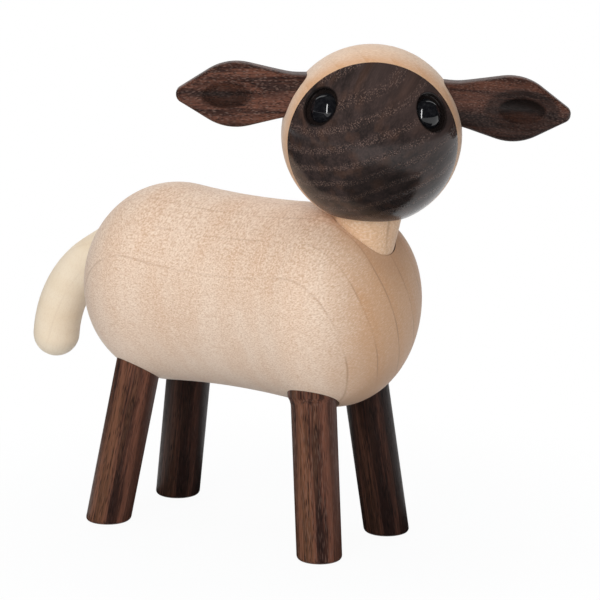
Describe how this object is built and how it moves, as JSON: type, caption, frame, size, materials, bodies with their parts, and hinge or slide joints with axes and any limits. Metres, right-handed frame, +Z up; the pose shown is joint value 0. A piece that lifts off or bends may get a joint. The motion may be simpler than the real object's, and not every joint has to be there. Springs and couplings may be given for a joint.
{
  "type": "sheep figurine",
  "caption": "Turned wooden sheep: a long round body on splayed dowel legs, a bent tail, and a two-tone ball head with leaf-shaped ears that turns on its neck.",
  "frame": {"origin": "on the table, under the middle of the whole sheep's box with its head turned as at rest", "axes": "+Z up; the body lies along Y and the sheep's chest is towards -Y; its left side is +X"},
  "size_m": [0.0612, 0.1518, 0.1348],
  "materials": {
    "maple": "fine-sanded and waxed",
    "pale_maple": "fine-sanded and waxed",
    "smoked_oak": "dark stain on open-pored wood, satin wax",
    "black_bead": "gloss",
    "rubber": "matt"
  },
  "bodies": {
    "body": {"body": "maple", "tail": "pale_maple", "front_left_leg": "smoked_oak", "front_right_leg": "smoked_oak", "rear_left_leg": "smoked_oak", "rear_right_leg": "smoked_oak"},
    "head": {"neck": "maple", "neck_ring": "rubber", "head_ball": "maple", "face": "smoked_oak", "left_ear": "smoked_oak", "left_eye": "black_bead", "right_ear": "smoked_oak", "right_eye": "black_bead"}
  },
  "joints": [
    {"name": "head_turn", "type": "hinge", "parent": "body", "child": "head", "pos_m": [0, -0.03308, 0.11137], "axis": [0, -0.0715, 0.9974], "continuous": true}
  ]
}
